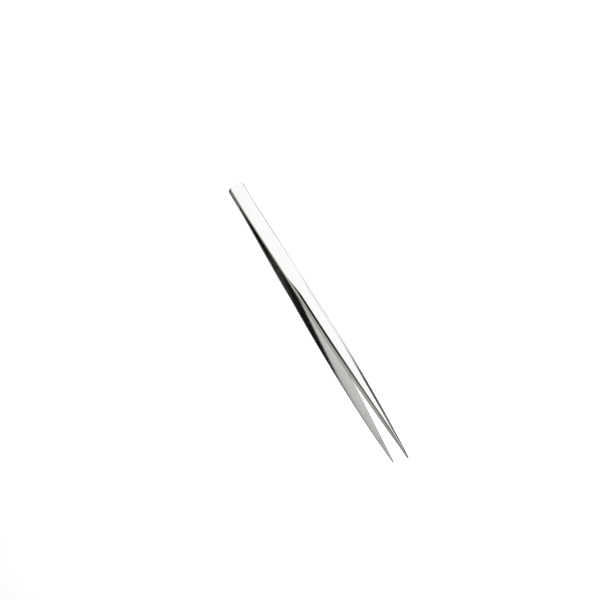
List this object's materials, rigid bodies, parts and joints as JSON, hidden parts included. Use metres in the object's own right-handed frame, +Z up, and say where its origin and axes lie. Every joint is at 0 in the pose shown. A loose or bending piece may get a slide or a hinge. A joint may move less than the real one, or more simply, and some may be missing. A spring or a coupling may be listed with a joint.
{
  "type": "aquascaping tweezers",
  "caption": "Long straight stainless planting tweezers: slim sprung arms joined at the tail, bevelled outer faces tapering to fine ribbed points.",
  "frame": {"origin": "under the middle of the tweezers' box, on the surface they lie on", "axes": "+X from the tail to the tips, Y the way the arms open (+Y is the left arm), +Z up, across the width of the steel strip"},
  "size_m": [0.27, 0.0262, 0.0144],
  "materials": {
    "polished_steel": "mirror polished outside, satin inside",
    "satin_steel": "satin",
    "weld_steel": "weld metal, ground flush"
  },
  "bodies": {
    "tail": {"left_arm_tang": "polished_steel", "right_arm_tang": "polished_steel", "tail_spacer": "satin_steel", "tail_weld": "weld_steel", "left_arm_spring": "polished_steel", "right_arm_spring": "polished_steel"},
    "left_arm": {"left_arm_grip": "polished_steel", "left_arm_blade": "polished_steel", "left_arm_tip": "polished_steel"},
    "right_arm": {"right_arm_grip": "polished_steel", "right_arm_blade": "polished_steel", "right_arm_tip": "polished_steel"}
  },
  "joints": [
    {"name": "left_arm_flex", "type": "hinge", "parent": "tail", "child": "left_arm", "pos_m": [-0.089, 0.0029, 0.0072], "axis": [0, 0, -1], "range_deg": [0, 2.92], "stiffness_Nm_per_rad": 6, "deforming": ["left_arm_spring"]},
    {"name": "right_arm_flex", "type": "hinge", "parent": "tail", "child": "right_arm", "pos_m": [-0.089, -0.0029, 0.0072], "axis": [0, 0, 1], "range_deg": [0, 2.92], "stiffness_Nm_per_rad": 6, "deforming": ["right_arm_spring"]}
  ],
  "couplings": [
    {"joint": "right_arm_flex", "follows": "left_arm_flex", "ratio": 1}
  ]
}
